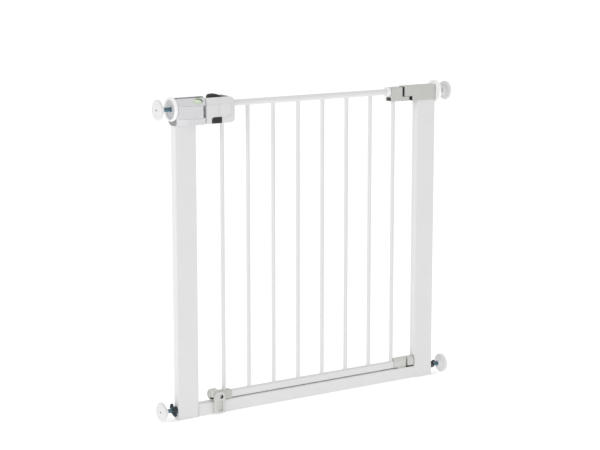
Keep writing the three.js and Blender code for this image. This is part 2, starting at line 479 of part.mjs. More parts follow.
// ---------------------------------------------------------------- adjusters
// Built pointing to -X from the outer face of an upright (x = 0), turned round for the right side.
function adjuster(side, level, reach) {
  const unit = new THREE.Group();
  unit.position.set(side === 'left' ? -HALF : HALF, 0, level === 'top' ? TOP_SPINDLE_Z : FOOT_SPINDLE_Z);
  unit.rotation.z = side === 'left' ? 0 : Math.PI;
  frame.add(unit);
  const face = -(reach - HALF);
  const R = PAD_D / 2;
  const pad = cut(
    turned('x', [[0, face], [13, face], [R - 1.6, face + 0.3], [R - 0.3, face + 1], [R, face + 2], [R, face + 5.2],
      [R - 0.8, face + 6.2], [13, face + 7], [9.6, face + 7.6], [8.8, face + PAD_T], [0, face + PAD_T]], 0, 0, 32),
    rod('x', 2.6, face - 1, face + 2.2, 0, 0, 16),
    rod('x', SPINDLE_D / 2 + GAP, face + 4, face + PAD_T + 2, 0, 0, 20));
  piece(unit, `${side}_${level}_pad`, pad, PAD_WHITE);
  const inner = level === 'top' ? 46 : 42;
  piece(unit, `${side}_${level}_spindle`,
    turned('x', [[0, face + 4.3], [SPINDLE_D / 2, face + 4.3], [SPINDLE_D / 2, inner - 1.5], [SPINDLE_D / 2 - 1.5, inner], [0, inner]], 0, 0, 20), STEEL);
  if (level === 'top') {
    const r = WHEEL_D / 2;
    const wheel = cut(
      add(
        turned('x', [[0, -WHEEL_T - GAP], [r - 1.4, -WHEEL_T - GAP], [r - 0.4, -WHEEL_T + 0.3], [r, -WHEEL_T + 1.2], [r, -1.4], [r - 0.9, -GAP], [0, -GAP]], 0, 0, 36),
        rod('x', 8.1, -GAP - 0.5, 11, 0, 0, 24)),
      turned('x', [[0, -WHEEL_T - 2], [20.9, -WHEEL_T - 2], [20.5, -3], [0, -3]], 0, 0, 32),
      rod('x', SPINDLE_D / 2 + GAP, -10, 14, 0, 0, 20));
    piece(unit, `${side}_hand_wheel`, wheel, WHITE_PLASTIC);
  } else {
    const wing = () => alongY(roundedShape([[-4.5, 4, 0], [-3, 15, 2.5], [-9, 16.6, 2.5], [-13.6, 8, 2.5], [-12, 3, 0]], 3), -2.6, 2.6);
    const nut = cut(
      add(rod('x', 8.4, -12, -GAP, 0, 0, 24), wing(), wing().rotate([180, 0, 0])),
      rod('x', SPINDLE_D / 2 + GAP, -25, 4, 0, 0, 20)).rotate([-42, 0, 0]);
    piece(unit, `${side}_wing_nut`, nut, STEEL);
  }
}
adjuster('left', 'top', PAD_REACH);
adjuster('left', 'foot', PAD_REACH);
adjuster('right', 'top', PAD_REACH);
adjuster('right', 'foot', PAD_REACH);

export default group;
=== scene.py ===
import math

import bmesh
import bpy
from mathutils import Matrix, Vector


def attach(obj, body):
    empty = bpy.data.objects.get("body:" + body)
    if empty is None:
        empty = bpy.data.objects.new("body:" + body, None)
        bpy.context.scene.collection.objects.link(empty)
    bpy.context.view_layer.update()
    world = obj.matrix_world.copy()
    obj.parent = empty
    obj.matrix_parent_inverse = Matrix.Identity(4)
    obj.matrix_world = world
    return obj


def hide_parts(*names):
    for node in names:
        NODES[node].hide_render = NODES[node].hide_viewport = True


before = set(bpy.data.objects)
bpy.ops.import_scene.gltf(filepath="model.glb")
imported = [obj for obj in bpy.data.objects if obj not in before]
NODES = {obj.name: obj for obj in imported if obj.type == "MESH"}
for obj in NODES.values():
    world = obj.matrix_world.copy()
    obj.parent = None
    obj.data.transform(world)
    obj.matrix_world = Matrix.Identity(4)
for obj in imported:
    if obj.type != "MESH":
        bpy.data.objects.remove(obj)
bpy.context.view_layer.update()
MM = 0.001

# ------------------------------------------------------------------ materials


def _node(nt, kind, x, y, **inputs):
    n = nt.nodes.new(kind)
    n.location = (x, y)
    for k, v in inputs.items():
        n.inputs[k.replace("_", " ")].default_value = v
    return n


def material(name, base, rough, metal=0.0, grain=900.0, bump=0.00003, var=0.03, rvar=0.05, coat=0.0, ior=1.46,
             alpha=1.0, stretch=(1, 1, 1), flake=0.0, second=None, spots=0.0, wave=0.0):
    """Procedural finish: slow colour drift, optional flakes or spangle, roughness breakup, fine surface grain."""
    m = bpy.data.materials.new(name)
    m.use_nodes = True
    nt = m.node_tree
    b = nt.nodes["Principled BSDF"]
    b.inputs["Metallic"].default_value = metal
    b.inputs["IOR"].default_value = ior
    b.inputs["Coat Weight"].default_value = coat
    b.inputs["Coat Roughness"].default_value = 0.12
    b.inputs["Alpha"].default_value = alpha
    tc = nt.nodes.new("ShaderNodeTexCoord")
    mp = nt.nodes.new("ShaderNodeMapping")
    mp.inputs["Scale"].default_value = stretch
    nt.links.new(tc.outputs["Object"], mp.inputs["Vector"])
    vec = mp.outputs["Vector"]

    drift = _node(nt, "ShaderNodeTexNoise", -900, 300, Scale=17.0, Detail=4.0, Roughness=0.6)
    nt.links.new(vec, drift.inputs["Vector"])
    lo = tuple(c * (1 - var) for c in base) + (1,)
    hi = tuple(min(1, c * (1 + var * 0.6)) for c in (second or base)) + (1,)
    ramp = nt.nodes.new("ShaderNodeValToRGB")
    ramp.color_ramp.elements[0].position = 0.34
    ramp.color_ramp.elements[0].color = lo
    ramp.color_ramp.elements[1].position = 0.68
    ramp.color_ramp.elements[1].color = hi
    nt.links.new(drift.outputs["Fac"], ramp.inputs["Fac"])
    colour = ramp.outputs["Color"]
    if flake > 0:
        vor = _node(nt, "ShaderNodeTexVoronoi", -900, 0, Scale=grain * 1.6)
        nt.links.new(vec, vor.inputs["Vector"])
        bw = nt.nodes.new("ShaderNodeSeparateColor")
        nt.links.new(vor.outputs["Color"], bw.inputs["Color"])
        mr = nt.nodes.new("ShaderNodeMapRange")
        mr.inputs["To Min"].default_value = 1 - flake
        mr.inputs["To Max"].default_value = 1 + flake
        nt.links.new(bw.outputs["Red"], mr.inputs["Value"])
        mul = nt.nodes.new("ShaderNodeVectorMath")
        mul.operation = "SCALE"
        nt.links.new(colour, mul.inputs[0])
        nt.links.new(mr.outputs["Result"], mul.inputs["Scale"])
        colour = mul.outputs["Vector"]
    if spots > 0:
        # faint rubbed patches, a little darker
        sp = _node(nt, "ShaderNodeTexNoise", -900, -200, Scale=120.0, Detail=6.0, Roughness=0.75)
        nt.links.new(vec, sp.inputs["Vector"])
        sr = nt.nodes.new("ShaderNodeMapRange")
        sr.inputs["From Min"].default_value = 0.56
        sr.inputs["From Max"].default_value = 0.72
        sr.inputs["To Min"].default_value = 1.0
        sr.inputs["To Max"].default_value = 1.0 - spots
        nt.links.new(sp.outputs["Fac"], sr.inputs["Value"])
        mul2 = nt.nodes.new("ShaderNodeVectorMath")
        mul2.operation = "SCALE"
        nt.links.new(colour, mul2.inputs[0])
        nt.links.new(sr.outputs["Result"], mul2.inputs["Scale"])
        colour = mul2.outputs["Vector"]
    nt.links.new(colour, b.inputs["Base Color"])

    rn = _node(nt, "ShaderNodeTexNoise", -900, -400, Scale=70.0, Detail=5.0, Roughness=0.65)
    nt.links.new(vec, rn.inputs["Vector"])
    rr = nt.nodes.new("ShaderNodeMapRange")
    rr.inputs["From Min"].default_value = 0.3
    rr.inputs["From Max"].default_value = 0.7
    rr.inputs["To Min"].default_value = max(0.02, rough - rvar)
    rr.inputs["To Max"].default_value = min(1.0, rough + rvar)
    nt.links.new(rn.outputs["Fac"], rr.inputs["Value"])
    nt.links.new(rr.outputs["Result"], b.inputs["Roughness"])

    g = _node(nt, "ShaderNodeTexNoise", -900, -700, Scale=grain, Detail=3.0, Roughness=0.55)
    nt.links.new(vec, g.inputs["Vector"])
    height = g.outputs["Fac"]
    if wave > 0:
        w = _node(nt, "ShaderNodeTexNoise", -900, -900, Scale=grain * 0.22, Detail=2.0, Roughness=0.5)
        nt.links.new(vec, w.inputs["Vector"])
        ad = nt.nodes.new("ShaderNodeMath")
        ad.operation = "MULTIPLY_ADD"
        ad.inputs[1].default_value = wave
        nt.links.new(w.outputs["Fac"], ad.inputs[0])
        nt.links.new(g.outputs["Fac"], ad.inputs[2])
        height = ad.outputs["Value"]
    bp = nt.nodes.new("ShaderNodeBump")
    bp.inputs["Strength"].default_value = 0.6
    bp.inputs["Distance"].default_value = bump
    nt.links.new(height, bp.inputs["Height"])
    nt.links.new(bp.outputs["Normal"], b.inputs["Normal"])
    return m


PAINT = material("white_powder_coat", (0.775, 0.778, 0.774), 0.36, grain=620, bump=0.00006, var=0.012, rvar=0.05, coat=0.12, wave=1.6)
WHEELW = material("white_wheel_plastic", (0.95, 0.95, 0.945), 0.36, grain=1500, bump=0.00002, var=0.01, coat=0.05)
WHITE = material("white_plastic", (0.87, 0.87, 0.87), 0.34, grain=1500, bump=0.00002, var=0.012, coat=0.05)
PADW = material("white_pad_rubber", (0.79, 0.79, 0.80), 0.6, grain=1100, bump=0.00006, var=0.02, wave=0.8)
SILVER = material("silver_plastic", (0.70, 0.70, 0.715), 0.38, metal=0.14, grain=1700, bump=0.00002, var=0.02, flake=0.05, coat=0.08)
LSILVER = material("light_silver_plastic", (0.753, 0.753, 0.763), 0.38, metal=0.08, grain=1700, bump=0.00002, var=0.02, flake=0.045, coat=0.08)
MIDGREY = material("mid_grey_plastic", (0.235, 0.237, 0.248), 0.5, grain=1200, bump=0.00005, var=0.06)
# darker grey for the end plate's lower corner: painted shade under the wheel
END_SHADE_GREY = material("end_grey_painted_shade", (0.29, 0.292, 0.30), 0.5, grain=1200, bump=0.00004, var=0.05)
# near-white for the keeper and the handle's end plate: painted light, lifting the shade inside the mouth's gap
MOUTH_PAINTED_LIGHT = material("mouth_plastic_painted_light", (0.93, 0.92, 0.945), 0.5, grain=1200, bump=0.00004, var=0.05)
CRESTGREY = material("crest_grey_plastic", (0.44, 0.44, 0.45), 0.5, grain=1200, bump=0.00004, var=0.05)
DISHGREY = material("dish_grey_plastic", (0.675, 0.682, 0.695), 0.45, grain=1200, bump=0.00004, var=0.03)
WARML = material("warm_grey_plastic_light", (0.66, 0.665, 0.635), 0.46, grain=1000, bump=0.00006, var=0.05, spots=0.05, wave=0.5)
WARM = material("warm_grey_plastic", (0.575, 0.58, 0.55), 0.46, grain=1000, bump=0.00005, var=0.03, spots=0.03, wave=0.5)
# charcoal: the real black plastic parts, and also painted shade in gaps, recesses and holes
CHARCOAL_AND_SHADE = material("charcoal_plastic", (0.026, 0.026, 0.029), 0.48, grain=1300, bump=0.00005, var=0.12, rvar=0.08)
STEEL = material("zinc_steel", (0.095, 0.185, 0.245), 0.34, metal=0.8, grain=800, bump=0.00003, var=0.12, rvar=0.1,
                 flake=0.06, second=(0.15, 0.255, 0.315), spots=0.12)
DARKSTEEL = material("dark_steel", (0.034, 0.05, 0.06), 0.22, metal=0.7, coat=0.35, grain=800, bump=0.00003, var=0.14, rvar=0.1, flake=0.05, spots=0.15)
BRIGHT = material("bright_steel", (0.55, 0.56, 0.57), 0.3, metal=1.0, grain=700, bump=0.00002, var=0.06, rvar=0.08, flake=0.04)
PALE = material("pale_green_flag", (0.90, 1.0, 0.82), 0.5, grain=1500, bump=0.00002, var=0.03)
GREEN = material("dark_green_mark", (0.045, 0.115, 0.035), 0.5, grain=1500, bump=0.00002, var=0.08)
PANE = material("window_pane", (0.80, 0.93, 0.74), 0.08, grain=400, bump=0.000006, var=0.01, rvar=0.02, alpha=0.11, coat=0.3)

# ------------------------------------------------------------------ mesh kit (millimetres)


def rounded(points, steps=8):
    """Polygon with rounded corners; points are (u, v, radius)."""
    out = []
    n = len(points)
    for i in range(n):
        p = Vector(points[i][:2])
        r = points[i][2] if len(points[i]) > 2 else 0
        if r <= 0:
            out.append((p.x, p.y))
            continue
        a = (Vector(points[i - 1][:2]) - p).normalized()
        b = (Vector(points[(i + 1) % n][:2]) - p).normalized()
        half = math.acos(max(-1, min(1, a.dot(b)))) / 2
        reach = r / math.tan(half)
        c = p + (a + b).normalized() * (r / math.sin(half))
        s, e = p + a * reach, p + b * reach
        a0 = math.atan2(s.y - c.y, s.x - c.x)
        sweep = math.atan2(e.y - c.y, e.x - c.x) - a0
        while sweep > math.pi:
            sweep -= 2 * math.pi
        while sweep < -math.pi:
            sweep += 2 * math.pi
        for k in range(steps + 1):
            t = a0 + sweep * k / steps
            out.append((c.x + r * math.cos(t), c.y + r * math.sin(t)))
    return out


def rect(a0, a1, b0, b1, r, steps=8):
    return rounded([(a0, b0, r), (a1, b0, r), (a1, b1, r), (a0, b1, r)], steps)


def lift(plane, p, s):
    """2-D point p of a section to 3-D at station s along the plane's axis."""
    if plane == "x":
        return (s, p[0], p[1])
    if plane == "y":
        return (p[0], s, p[1])
    return (p[0], p[1], s)


def make(name, verts, faces):
    me = bpy.data.meshes.new(name)
    me.from_pydata([(x * MM, y * MM, z * MM) for x, y, z in verts], [], faces)
    me.validate()
    bm = bmesh.new()
    bm.from_mesh(me)
    bmesh.ops.remove_doubles(bm, verts=bm.verts, dist=1e-7)
    bmesh.ops.recalc_face_normals(bm, faces=bm.faces)
    bm.to_mesh(me)
    bm.free()
    o = bpy.data.objects.new(name, me)
    bpy.context.scene.collection.objects.link(o)
    return o


def loft(name, rings, closed=False, caps=True):
    """Skin over rings of equal count. closed joins the last ring to the first."""
    n = len(rings[0])
    verts = [p for r in rings for p in r]
    faces = []
    m = len(rings)
    for i in range(m if closed else m - 1):
        a, b = i * n, ((i + 1) % m) * n
        for j in range(n):
            k = (j + 1) % n
            faces.append((a + j, a + k, b + k, b + j))
    if not closed and caps:
        faces.append(tuple(range(n)))
        faces.append(tuple(range((m - 1) * n, m * n)))
    return make(name, verts, faces)


def prism(name, pts, plane, a, b):
    return loft(name, [[lift(plane, p, a) for p in pts], [lift(plane, p, b) for p in pts]])


def pipe(name, outer, inner, plane, a, b):
    """Hollow tube with open ends: outer and inner sections of equal count."""
    return loft(name, [[lift(plane, p, a) for p in outer], [lift(plane, p, b) for p in outer],
                       [lift(plane, p, b) for p in inner], [lift(plane, p, a) for p in inner]], closed=True)


def block(name, x0, x1, y0, y1, z0, z1):
    return prism(name, [(x0, y0), (x1, y0), (x1, y1), (x0, y1)], "z", z0, z1)


def circle(r, n, cx=0.0, cy=0.0):
    return [(cx + r * math.cos(2 * math.pi * i / n), cy + r * math.sin(2 * math.pi * i / n)) for i in range(n)]


def rod(name, axis, r, a, b, c1, c2, n=40):
    return prism(name, circle(r, n, c1, c2), axis, a, b)


def lathe(name, axis, pts, c1, c2, n=48, closed=False):
    """Turned piece; pts are (radius, station). A radius of 0 at an end closes it in a point."""
    rings = []
    for r, s in pts:
        rings.append([lift(axis, (c1 + r * math.cos(2 * math.pi * i / n), c2 + r * math.sin(2 * math.pi * i / n)), s)
                      for i in range(n)])
    if closed:
        return loft(name, rings, closed=True)
    verts, faces, idx = [], [], []
    for (r, s), ring in zip(pts, rings):
        if r <= 1e-9:
            idx.append([len(verts)])
            verts.append(lift(axis, (c1, c2), s))
        else:
            idx.append(list(range(len(verts), len(verts) + n)))
            verts.extend(ring)
    for a, b in zip(idx, idx[1:]):
        for j in range(n):
            k = (j + 1) % n
            if len(a) == 1 and len(b) == 1:
                continue
            if len(a) == 1:
                faces.append((a[0], b[k], b[j]))
            elif len(b) == 1:
                faces.append((a[j], a[k], b[0]))
            else:
                faces.append((a[j], a[k], b[k], b[j]))
    if len(idx[0]) > 1:
        faces.append(tuple(idx[0]))
    if len(idx[-1]) > 1:
        faces.append(tuple(idx[-1]))
    return make(name, verts, faces)


def bake(o):
    dg = bpy.context.evaluated_depsgraph_get()
    dg.update()
    me = bpy.data.meshes.new_from_object(o.evaluated_get(dg), preserve_all_data_layers=False, depsgraph=dg)
    old = o.data
    o.modifiers.clear()
    o.data = me
    bpy.data.meshes.remove(old)
    return o


def boolean(o, op, others):
    for b in others:
        m = o.modifiers.new("b", "BOOLEAN")
        m.operation = op
        m.solver = "EXACT"
        m.object = b
    bake(o)
    for b in others:
        me = b.data
        bpy.data.objects.remove(b)
        bpy.data.meshes.remove(me)
    return o


def cut(o, *others):
    return boolean(o, "DIFFERENCE", others)


def union(o, *others):
    return boolean(o, "UNION", others)


def keep(o, *others):
    return boolean(o, "INTERSECT", others)


def soften(o, w, seg=3, angle=30):
    """Rounds a piece's edges before it is joined to another."""
    m = o.modifiers.new("bevel", "BEVEL")
    m.width = w * MM
    m.segments = seg
    m.limit_method = "ANGLE"
    m.angle_limit = math.radians(angle)
    m.use_clamp_overlap = True
    return bake(o)


def duplicate(o, name):
    c = bpy.data.objects.new(name, o.data.copy())
    bpy.context.scene.collection.objects.link(c)
    return c


def clean(o, dist=2e-6):
    bm = bmesh.new()
    bm.from_mesh(o.data)
    bmesh.ops.remove_doubles(bm, verts=bm.verts, dist=dist)
    bmesh.ops.dissolve_degenerate(bm, edges=bm.edges, dist=dist)
    bmesh.ops.dissolve_limit(bm, angle_limit=math.radians(0.4), verts=bm.verts, edges=bm.edges)
    bmesh.ops.recalc_face_normals(bm, faces=bm.faces)
    bm.to_mesh(o.data)
    bm.free()
    return o


def dress(o, body, mat, replaces=(), bevel=0.0, seg=2, angle=32, smooth=38, tidy=True):
    """Rounds the edges, shades, gives the finish, and hangs the piece on its body."""
    if bevel > 0:
        if tidy:
            clean(o)
        m = o.modifiers.new("bevel", "BEVEL")
        m.width = bevel * MM
        m.segments = seg
        m.limit_method = "ANGLE"
        m.angle_limit = math.radians(angle)
        m.use_clamp_overlap = True
        m.miter_outer = "MITER_ARC"
        bake(o)
    me = o.data
    me.materials.clear()
    me.materials.append(mat)
    me.shade_smooth()
    me.set_sharp_from_angle(angle=math.radians(smooth))
    w = o.modifiers.new("wn", "WEIGHTED_NORMAL")
    w.keep_sharp = True
    w.weight = 60
    bake(o)
    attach(o, body)
    if replaces:
        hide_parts(*([replaces] if isinstance(replaces, str) else replaces))
    return o


def keep_cad(name, mat, bevel=0.3, angle=30):
    """A CAD node that stays: finer edges and its own finish."""
    o = NODES[name]
    o.data.materials.clear()
    o.data.materials.append(mat)
    if bevel:
        m = o.modifiers.new("bevel", "BEVEL")
        m.width = bevel * MM
        m.segments = 2
        m.limit_method = "ANGLE"
        m.angle_limit = math.radians(angle)
    w = o.modifiers.new("wn", "WEIGHTED_NORMAL")
    w.keep_sharp = True
    return o


# ------------------------------------------------------------------ frame tubes

def upright(name, cx, top, side, notch_z):
    o = pipe(name, rect(-26, 26, -10, 10, 2.5), rect(-24.5, 24.5, -8.5, 8.5, 1.0), "z", 0, top)
    lo, hi = (-30, -22.2) if side < 0 else (22.2, 30)
    cut(o, rod("c1", "x", 5.4, *sorted((side * 20, side * 30)), 0, 22),
        block("c2", lo, hi, -15, 15, notch_z - 0.3, top + 2))
    o.data.transform(Matrix.Translation((cx * MM, 0, 0)))
    return dress(o, "frame", PAINT, name.replace("_tube", ""), bevel=0.35)


upright("left_upright_tube", -324, 670, -1, 650)
upright("right_upright_tube", 324, 675, 1, 667)

rail = pipe("floor_rail_tube", rect(-10, 10, 0, 29, 2.5), rect(-8.5, 8.5, 1.5, 27.5, 1), "x", -298.0, 298.0)
cut(rail, rod("c", "z", 4.4, 25, 31, 267, 0))
dress(rail, "frame", PAINT, "floor_rail", bevel=0.2)


def bead(name, path, r, body, ripple=0.12, per_mm=1.1, n=8):
    """Painted weld bead along a closed path of points, with the ripple of a hand weld."""
    rings, m, run = [], len(path), 0.0
    for i in range(m):
        p, q, prev = Vector(path[i]), Vector(path[(i + 1) % m]), Vector(path[i - 1])
        t = (q - prev).normalized()
        run += (q - p).length
        up = Vector((0, 0, 1)) if abs(t.z) < 0.8 else Vector((1, 0, 0))
        s = t.cross(up).normalized()
        u = s.cross(t).normalized()
        rr = r * (1 + ripple * math.sin(run * per_mm * 2 * math.pi / 2.2))
        rings.append([tuple(p + (s * math.cos(2 * math.pi * k / n) + u * math.sin(2 * math.pi * k / n)) * rr) for k in range(n)])
    o = loft(name, rings, closed=True)
    return dress(o, body, PAINT)


def outline_path(x, y0, y1, z0, z1, r):
    pts = rect(y0, y1, z0, z1, r, 5)
    out = []
    for i in range(len(pts)):
        a, b = Vector(pts[i]), Vector(pts[(i + 1) % len(pts)])
        k = max(1, int((b - a).length / 0.55))
        for j in range(k):
            p = a + (b - a) * j / k
            out.append((x, p.x, p.y))
    return out


for sx, nm in ((-1, "left"), (1, "right")):
    bead(f"{nm}_rail_weld", outline_path(sx * 297.85, -9.75, 9.75, 0.9, 28.75, 2.4), 0.75, "frame")

for n in ("left_foot_plug", "right_foot_plug"):
    keep_cad(n, CHARCOAL_AND_SHADE)
for n in ("left_foot_guide", "right_foot_guide", "left_spindle_guide", "right_spindle_guide"):
    keep_cad(n, WARM, 0.3)

# ------------------------------------------------------------------ leaf tubes

dress(pipe("leaf_top_rail_tube", circle(6.75, 48, 0, 690), circle(5.55, 48, 0, 690), "x", -236, 241),
      "leaf", PAINT, "leaf_top_rail", bevel=0.2)
dress(pipe("leaf_bottom_rail_tube", rect(-7, 7, 31, 46.5, 2), rect(-5.5, 5.5, 32.5, 45, 0.8), "x", -247.5, 239.5),
      "leaf", PAINT, "leaf_bottom_rail", bevel=0.2)

BAR_X = [-228 + 66.15 * i for i in range(8)]


def bar(i, x):
    """Round bar with a painted weld collar at its foot and a saddle weld under the top rail."""
    n = 32
    low = [(4.0, 46.45), (6.0, 46.5), (5.9, 46.8), (5.45, 47.2), (5.0, 47.8), (4.7, 48.7), (4.54, 49.8), (4.5, 51.5)]
    high = [(4.5, 4.2), (4.54, 3.0), (4.68, 2.0), (4.95, 1.2), (5.35, 0.6), (5.75, 0.15), (5.85, -0.25), (4.6, -0.7)]
    rings = []
    for r, z in low:
        rings.append([(x + r * math.cos(2 * math.pi * k / n), r * math.sin(2 * math.pi * k / n), z) for k in range(n)])
    for r, d in high:
        ring = []
        for k in range(n):
            t = 2 * math.pi * k / n
            y = r * math.sin(t)
            ring.append((x + r * math.cos(t), y, 690 - math.sqrt(6.75 ** 2 - y * y) - d))
        rings.append(ring)
    o = loft(f"bar_{i}_welded", rings)
    return dress(o, "leaf", PAINT, f"bar_{i}", smooth=50)


for i, x in enumerate(BAR_X, 1):
    bar(i, x)

# ------------------------------------------------------------------ latch housing


def housing_ring(x, i, steps=6):
    """Housing section at station x: faceted at the wall end, a box from X -322 to the mouth."""
    t = min(1.0, max(0.0, (x + 350) / 28.0))
    far = [(-26.6 + i, 665.5 + i * 0.4, 3), (-12 + i * 0.4, 650 + i, 4), (12 - i * 0.4, 650 + i, 4), (26.6 - i, 665.5 + i * 0.4, 3),
           (26.6 - i, 692 - i * 0.4, 3), (8 - i * 0.4, 707.5 - i, 5), (-12 + i * 0.4, 708 - i, 3), (-26.6 + i, 693 - i * 0.4, 3)]
    near = [(-28 + i, 664, 1.2), (-26.6 + i, 650 + i, 1.6), (26.6 - i, 650 + i, 2.4), (28 - i, 664, 2),
            (28 - i, 689 - i * 0.5, 4), (14 - i * 0.5, 701.5 - i, 6), (-24 + i, 709 - i, 1.1), (-28 + i, 692, 1.0)]
    pts = [tuple(a * (1 - t) + b * t for a, b in zip(p, q)) for p, q in zip(far, near)]
    return rounded(pts, steps)


def housing_body(name, i, x0, x1):
    xs = [x0] + [x for x in (-346, -342, -338, -334, -330, -326, -322) if x > x0 + 0.5] + [-311, -300, x1]
    return loft(name, [[(x, y, z) for y, z in housing_ring(x, i)] for x in xs])


def housing_profile(i):
    return housing_ring(-350, i)


WIN = Vector((-301.8, -25.74, 701.6))
WN = Vector((0, -17, 4)).normalized()
WV = Vector((0, 4, 17)).normalized()


def slope(u, v, w):
    return tuple(WIN + Vector((u, 0, 0)) + WV * v + WN * w)


def slope_prism(name, pts, w0, w1):
    return loft(name, [[slope(u, v, w0) for u, v in pts], [slope(u, v, w1) for u, v in pts]])


def ell(a, b, n=56):
    return [(a * math.cos(2 * math.pi * i / n), b * math.sin(2 * math.pi * i / n)) for i in range(n)]


full = housing_body("housing", 0, -349.4, -285)
cut(full, housing_body("c0", 2.5, -347.5, -287.5),
    block("c1", -346.5, -297.7, -10.3, 10.3, 645, 654),
    rod("c2", "x", 8.6, -352, -344, 0, 685),
    block("c3", -290, -280, -40, 9.4, 664.5, 691.5))
front = full
rear = duplicate(full, "latch_housing_rear_shell")
front.name = "latch_housing_front_shell"
keep(front, block("k", -355, -280, -40, -4.15, 645, 714))
cut(front, slope_prism("w", ell(12.9, 6.0), -8, 4))
# fine shadow lines along the two edges of the flat face
for z_far, z_near in ((692.9, 692.0), (665.6, 664.0)):
    cut(front, loft("g", [[(x, y - 0.9, z - 0.65), (x, y + 0.7, z - 0.2), (x, y + 0.7, z + 0.2), (x, y - 0.9, z + 0.65)]
                          for x, y, z in ((-351, -26.5, z_far), (-322, -27.95, z_near), (-290.4, -27.95, z_near))]))
dress(front, "frame", SILVER, "latch_housing_front", bevel=0.5, seg=3)
keep(rear, block("k", -355, -280, -3.85, 40, 645, 714))
cut(rear, rod("h1", "y", 2.4, 10, 40, -340, 660, 28), rod("h2", "y", 2.4, 10, 40, -306, 684, 28))
dress(rear, "frame", MIDGREY, "latch_housing_rear", bevel=0.5, seg=3)

# end plate of the housing, round the wheel's hub
end = loft("latch_housing_end_plate", [[(x, y, z) for y, z in housing_ring(-350, 0.12)] for x in (-350, -349.45)])
cut(end, rod("c", "x", 8.6, -352, -344, 0, 685))
# the lower corner below the wheel is split off and given a darker grey: painted shade under the wheel
corner = duplicate(end, "latch_housing_end_corner_painted_shade")
cut(end, block("k", -352, -347, -17.0, 30, 640, 664))
dress(end, "frame", SILVER, bevel=0.15)
keep(corner, block("k", -352, -347, -16.85, 30, 640, 663.85))
dress(corner, "frame", END_SHADE_GREY, bevel=0.15)

# raised grey strip along the top, the edge of the rear shell
strip_far = [(-13.2, 705.8), (-13.2, 708.1), (-12.4, 708.9), (5.6, 708.4), (8.2, 706.9), (8.2, 704.6)]
strip_near = [(-20.8, 706.6), (-20.8, 709.6), (-20.0, 710.5), (-7.0, 709.8), (-3.0, 707.6), (-3.0, 703.4)]
for tag, stations, strip_mat, slot in (("rear", (-349.4, -342.5, -335.7, -328.8, -322, -312, -303.2), MIDGREY, "mid_grey_plastic"),
                                       ("window", (-302.9, -299, -294, -290.6), GREEN, "flag_green"),
                                       ("mouth", (-290.3, -285.4), MIDGREY, "mid_grey_plastic")):
    strip_rings = []
    for x in stations:
        t = min(1.0, (x + 349.4) / 27.4)
        strip_rings.append([(x, a[0] * (1 - t) + b[0] * t, a[1] * (1 - t) + b[1] * t) for a, b in zip(strip_far, strip_near)])
    dress(loft(f"latch_housing_top_strip_{tag}", strip_rings), "frame", strip_mat, bevel=0.3, seg=2)

# window: clear pane, with a shallow dome
n = 56
rings = []
for s, w in ((1.0, -1.8), (1.0, -0.55), (0.985, -0.3), (0.95, -0.12), (0.8, 0.04), (0.5, 0.16), (0.2, 0.2)):
    rings.append([slope(u * s, v * s, w) for u, v in ell(12.7, 5.8, n)])
dress(loft("pressure_window_pane", rings), "frame", PANE, "pressure_window")

# flag behind the pane: pale strip with a dark curved band
flag = slope_prism("pressure_flag_strip", rounded([(-13.6, -6.2, 1), (13.7, -6.2, 1), (13.7, 4.9, 1), (-13.6, 4.9, 1)], 4), -4.5, -3.75)
dress(flag, "flag", PALE, "pressure_flag", bevel=0.15)
band = []
arc_n = 24
for r_, order in ((15.6, range(arc_n + 1)), (11.9, range(arc_n, -1, -1))):
    for i in order:
        t = math.radians(104 - 92 * i / arc_n)
        band.append((min(13.4, 1.1 + r_ * math.cos(t)), min(4.85, -7.9 + r_ * math.sin(t))))
dress(slope_prism("pressure_flag_band", [b for k, b in enumerate(band) if k == 0 or b != band[k - 1]], -3.74, -3.42), "flag", GREEN)

# keeper: back wall of the mouth with its striker, in near-white: painted light lifting the shade inside the gap
keep_cad("latch_keeper", MOUTH_PAINTED_LIGHT, 0.35)


def screw(name, x, z, y0, y_head, body, node, r=2.15):
    """Pan-head screw along Y with a cross recess, its head at y_head."""
    o = lathe(name, "y", [(0, y0), (1.1, y0), (1.5, y0 + 1.2), (1.5, y_head - 2.6), (r, y_head - 2.2), (r, y_head - 0.9),
                          (r * 0.9, y_head - 0.35), (r * 0.6, y_head - 0.05), (0, y_head)], x, z, 28)
    cut(o, block("a", x - 0.28, x + 0.28, y_head - 1.1, y_head + 1, z - 1.35, z + 1.35),
        block("b", x - 1.35, x + 1.35, y_head - 1.1, y_head + 1, z - 0.28, z + 0.28))
    return dress(o, body, BRIGHT, node, smooth=35)


screw("housing_screw_lower_head", -340, 660, 12, 21.6, "frame", "housing_screw_lower")
screw("housing_screw_upper_head", -306, 684, 12, 26.8, "frame", "housing_screw_upper")

# ------------------------------------------------------------------ handle
HX0, HX1, HZ0, HZ1 = -280.9, -208.8, 650.8, 707.4


def handle_profile(i, steps=6):
    return rounded([(-27 + i, 664, 0.5), (-26.7 + i, HZ0 + i, 1.6), (26.4 - i, HZ0 + i, 2.5), (27 - i, 664, 0.5),
                    (27 - i, 688 - i * 0.5, 4), (14 - i * 0.5, 700.3 - i, 6), (-24.5 + i, HZ1 - i, 1.1), (-27 + i, 692, 1)], steps)


def fillet(d, r):
    """How far a corner of radius r draws in at distance d from the end."""
    if d >= r:
        return 0.0
    return r - math.sqrt(max(0.0, r * r - (r - d) ** 2))


